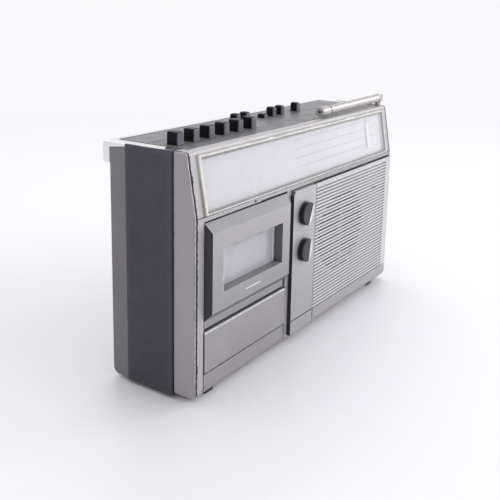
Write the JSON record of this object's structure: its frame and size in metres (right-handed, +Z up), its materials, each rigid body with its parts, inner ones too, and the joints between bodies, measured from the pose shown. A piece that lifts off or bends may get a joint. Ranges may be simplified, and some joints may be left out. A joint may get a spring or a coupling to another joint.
{
  "type": "portable radio cassette recorder",
  "caption": "Portable radio cassette recorder with a hinged cassette door, push keys, dial, knobs, slatted loudspeaker grille, telescopic antenna and folding handle.",
  "frame": {"origin": "under the middle of the whole object, on the surface that it stands on", "axes": "+X to the right seen from the front, +Y to the back, +Z up"},
  "size_m": [0.346, 0.1014, 0.2082],
  "materials": {
    "silver_plastic": "metallic silver paint on moulded plastic",
    "grey_plastic": "fine grained moulded plastic",
    "dark_plastic": "ribbed dark moulded plastic",
    "top_paint": "grey metallic paint",
    "clear_plastic": "clear polished plastic",
    "printed_plate": "pale scale plate",
    "white_plastic": "white plastic",
    "black_plastic": "satin black plastic",
    "chrome": "bright chrome",
    "steel": "plain steel",
    "rubber": "matt black rubber",
    "cone_paper": "dark pressed paper",
    "ferrite": "sintered ferrite",
    "laminate": "brown paper laminate",
    "can_metal": "drawn cans",
    "brass": "brass"
  },
  "bodies": {
    "cabinet": {"front_shell": "silver_plastic", "lower_panel": "silver_plastic", "knob_panel": "silver_plastic", "speaker_grille": "silver_plastic", "rear_cover": "grey_plastic", "battery_box": "grey_plastic", "left_cheek": "dark_plastic", "right_cheek": "dark_plastic", "top_panel": "top_paint", "dial_cover": "clear_plastic", "dial_plate": "printed_plate", "switch_bank": "black_plastic", "mains_inlet": "black_plastic", "earphone_jack": "black_plastic", "case_screws": "steel", "handle_pivots": "steel", "door_hinge_rod": "steel", "deck_plate": "steel", "speaker_basket": "steel", "drive_motor": "steel", "mains_transformer": "steel", "tape_heads": "steel", "feet": "rubber", "drive_belt": "rubber", "speaker_cone": "cone_paper", "ferrite_rod": "ferrite", "speaker_magnet": "ferrite", "circuit_board": "laminate", "board_components": "can_metal", "battery_contacts": "brass"},
    "door": {"cassette_door": "silver_plastic", "door_pane": "clear_plastic", "cassette_holder": "steel"},
    "tuning": {"tuning_knob": "black_plastic"},
    "volume": {"volume_knob": "black_plastic"},
    "pointer": {"dial_pointer": "white_plastic"},
    "swivel": {"antenna_swivel": "chrome"},
    "tube": {"antenna_tube": "chrome"},
    "section_2": {"antenna_section_2": "chrome"},
    "section_3": {"antenna_section_3": "chrome"},
    "tip": {"antenna_tip_section": "chrome"},
    "carrying_handle": {"handle": "chrome"},
    "bay_lid": {"battery_lid": "grey_plastic"},
    "capstan": {"flywheel": "brass"},
    "pulley": {"motor_pulley": "brass"},
    "roller": {"pinch_roller": "rubber"},
    "supply_reel": {"supply_spindle": "white_plastic"},
    "take_up_reel": {"take_up_spindle": "white_plastic"},
    "record_key_body": {"record_key": "black_plastic"},
    "play_key_body": {"play_key": "black_plastic"},
    "rewind_key_body": {"rewind_key": "black_plastic"},
    "forward_key_body": {"forward_key": "black_plastic"},
    "stop_key_body": {"stop_key": "black_plastic"},
    "pause_key_body": {"pause_key": "black_plastic"},
    "tone_button_body": {"tone_button": "black_plastic"},
    "afc_button_body": {"afc_button": "black_plastic"},
    "long_wave_button_body": {"long_wave_button": "black_plastic"},
    "medium_wave_button_body": {"medium_wave_button": "black_plastic"},
    "fm_button_body": {"fm_button": "black_plastic"},
    "radio_tape_button_body": {"radio_tape_button": "black_plastic"}
  },
  "joints": [
    {"name": "door_hinge", "type": "hinge", "parent": "cabinet", "child": "door", "pos_m": [-0.1018, -0.03835, 0.061], "axis": [1, 0, 0], "range_deg": [0, 40]},
    {"name": "record_key_press", "type": "slide", "parent": "cabinet", "child": "record_key_body", "axis": [0, 0, -1], "range_m": [0, 0.005], "stiffness_N_per_m": 150, "springref_m": -0.002},
    {"name": "play_key_press", "type": "slide", "parent": "cabinet", "child": "play_key_body", "axis": [0, 0, -1], "range_m": [0, 0.005], "stiffness_N_per_m": 150, "springref_m": -0.002},
    {"name": "rewind_key_press", "type": "slide", "parent": "cabinet", "child": "rewind_key_body", "axis": [0, 0, -1], "range_m": [0, 0.005], "stiffness_N_per_m": 150, "springref_m": -0.002},
    {"name": "forward_key_press", "type": "slide", "parent": "cabinet", "child": "forward_key_body", "axis": [0, 0, -1], "range_m": [0, 0.005], "stiffness_N_per_m": 150, "springref_m": -0.002},
    {"name": "stop_key_press", "type": "slide", "parent": "cabinet", "child": "stop_key_body", "axis": [0, 0, -1], "range_m": [0, 0.005], "stiffness_N_per_m": 150, "springref_m": -0.002},
    {"name": "pause_key_press", "type": "slide", "parent": "cabinet", "child": "pause_key_body", "axis": [0, 0, -1], "range_m": [0, 0.005], "stiffness_N_per_m": 150, "springref_m": -0.002},
    {"name": "tone_button_press", "type": "slide", "parent": "cabinet", "child": "tone_button_body", "axis": [0, 0, -1], "range_m": [0, 0.0048]},
    {"name": "afc_button_press", "type": "slide", "parent": "cabinet", "child": "afc_button_body", "axis": [0, 0, -1], "range_m": [0, 0.0048]},
    {"name": "long_wave_button_press", "type": "slide", "parent": "cabinet", "child": "long_wave_button_body", "axis": [0, 0, -1], "range_m": [-0.0048, 0]},
    {"name": "medium_wave_button_press", "type": "slide", "parent": "cabinet", "child": "medium_wave_button_body", "axis": [0, 0, -1], "range_m": [0, 0.0048]},
    {"name": "fm_button_press", "type": "slide", "parent": "cabinet", "child": "fm_button_body", "axis": [0, 0, -1], "range_m": [0, 0.0048]},
    {"name": "radio_tape_button_press", "type": "slide", "parent": "cabinet", "child": "radio_tape_button_body", "axis": [0, 0, -1], "range_m": [0, 0.0048]},
    {"name": "tuning_turn", "type": "hinge", "parent": "cabinet", "child": "tuning", "pos_m": [-0.0185, -0.04155, 0.1196], "axis": [0, -1, 0], "range_deg": [0, 1604]},
    {"name": "pointer_run", "type": "slide", "parent": "cabinet", "child": "pointer", "axis": [-1, 0, 0], "range_m": [0, 0.14]},
    {"name": "volume_turn", "type": "hinge", "parent": "cabinet", "child": "volume", "pos_m": [-0.0185, -0.04155, 0.0858], "axis": [0, 1, 0], "range_deg": [-240, 60]},
    {"name": "antenna_turn", "type": "hinge", "parent": "cabinet", "child": "swivel", "pos_m": [0.1652, -0.02675, 0.204], "axis": [0, 0, 1], "range_deg": [0, 180]},
    {"name": "antenna_tilt", "type": "hinge", "parent": "swivel", "child": "tube", "pos_m": [0.1652, -0.02675, 0.204], "axis": [0, 1, 0], "range_deg": [0, 90]},
    {"name": "section_2_slide", "type": "slide", "parent": "tube", "child": "section_2", "axis": [-0.9999, 0, -0.0131], "range_m": [0, 0.095]},
    {"name": "section_3_slide", "type": "slide", "parent": "section_2", "child": "section_3", "axis": [-0.9999, 0, -0.0131], "range_m": [0, 0.095]},
    {"name": "tip_slide", "type": "slide", "parent": "section_3", "child": "tip", "axis": [-0.9999, 0, -0.0131], "range_m": [0, 0.095]},
    {"name": "handle_swing", "type": "hinge", "parent": "cabinet", "child": "carrying_handle", "pos_m": [0, -0.00645, 0.1908], "axis": [1, 0, 0], "range_deg": [0, 90]},
    {"name": "lid_off", "type": "slide", "parent": "cabinet", "child": "bay_lid", "axis": [0, 1, 0], "range_m": [0, 0.04]},
    {"name": "capstan_spin", "type": "hinge", "parent": "cabinet", "child": "capstan", "pos_m": [-0.1368, -0.01355, 0.125], "axis": [0, 1, 0], "continuous": true},
    {"name": "pulley_spin", "type": "hinge", "parent": "cabinet", "child": "pulley", "pos_m": [-0.068, -0.01355, 0.121], "axis": [0, 1, 0], "continuous": true},
    {"name": "roller_spin", "type": "hinge", "parent": "cabinet", "child": "roller", "pos_m": [-0.1368, -0.03055, 0.141], "axis": [0, 1, 0], "continuous": true},
    {"name": "supply_spin", "type": "hinge", "parent": "cabinet", "child": "supply_reel", "pos_m": [-0.08055, -0.02655, 0.1045], "axis": [0, 1, 0], "continuous": true},
    {"name": "take_up_spin", "type": "hinge", "parent": "cabinet", "child": "take_up_reel", "pos_m": [-0.12305, -0.02655, 0.1045], "axis": [0, 1, 0], "continuous": true}
  ],
  "couplings": [
    {"joint": "pointer_run", "follows": "tuning_turn", "m_per_rad": 0.005},
    {"joint": "pulley_spin", "follows": "capstan_spin", "ratio": 4.8889}
  ]
}
